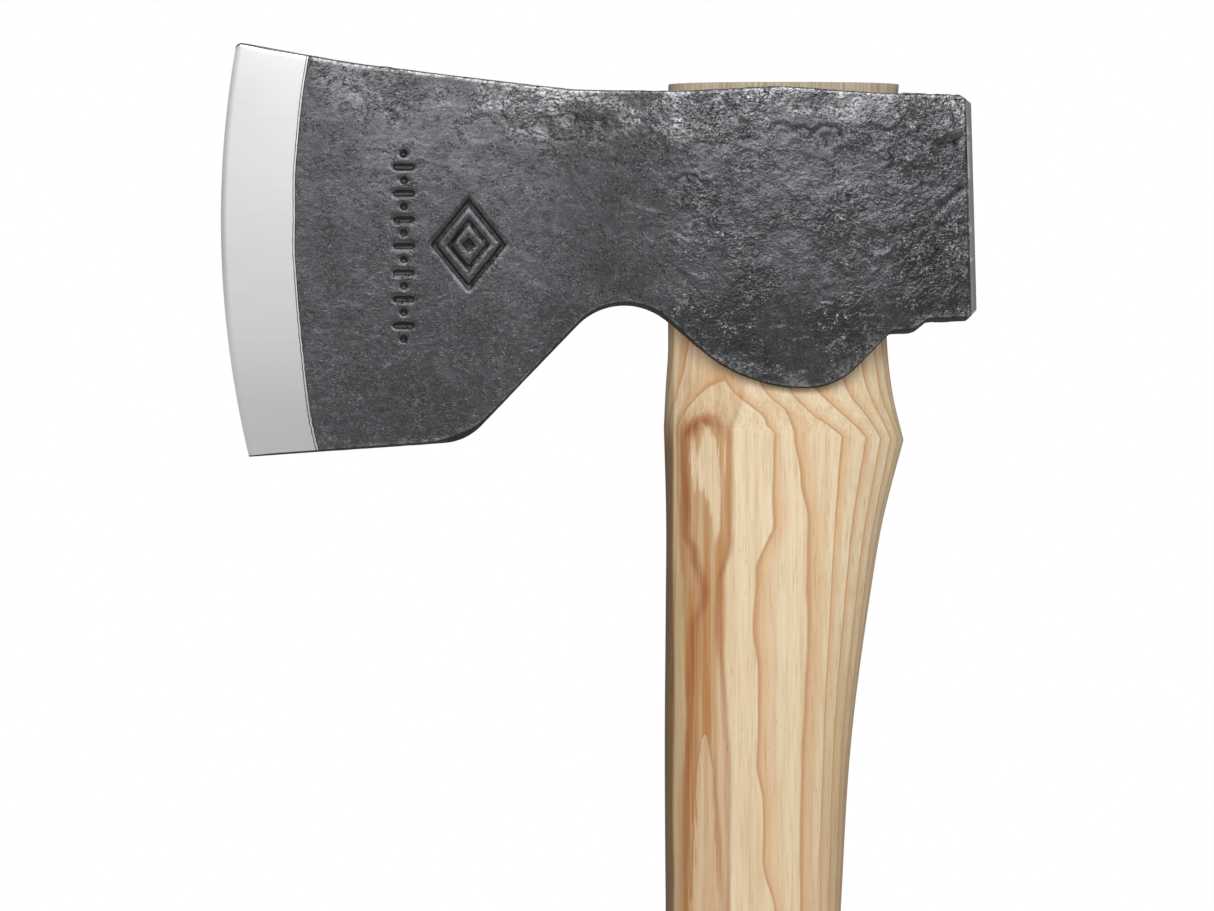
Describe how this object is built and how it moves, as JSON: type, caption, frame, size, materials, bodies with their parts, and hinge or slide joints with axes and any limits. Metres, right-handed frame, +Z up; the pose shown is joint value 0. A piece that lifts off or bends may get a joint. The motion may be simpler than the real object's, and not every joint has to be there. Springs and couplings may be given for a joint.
{
  "type": "carving hatchet",
  "caption": "Bearded carving hatchet: black forged head with a polished ground bevel and flat poll, hung on a pale hickory handle with a swelled butt.",
  "frame": {"origin": "centre of the flat butt face at the bottom end of the handle", "axes": "+Z up the handle to the head, -X towards the cutting edge, +X towards the poll, Y through the thickness of the blade; the XZ plane is the plane of symmetry"},
  "size_m": [0.1654, 0.03, 0.4084],
  "materials": {
    "forged_steel": "black forge scale, hammered and pitted, with a fine ground bevel and a ground poll",
    "hickory": "oiled, with brown heartwood streaks along the front",
    "wedge_wood": "sawn and weathered",
    "ring_steel": "plain turned steel"
  },
  "bodies": {
    "root": {"axe_head": "forged_steel", "handle": "hickory", "wooden_wedge": "wedge_wood", "steel_ring_wedge": "ring_steel"}
  },
  "joints": []
}
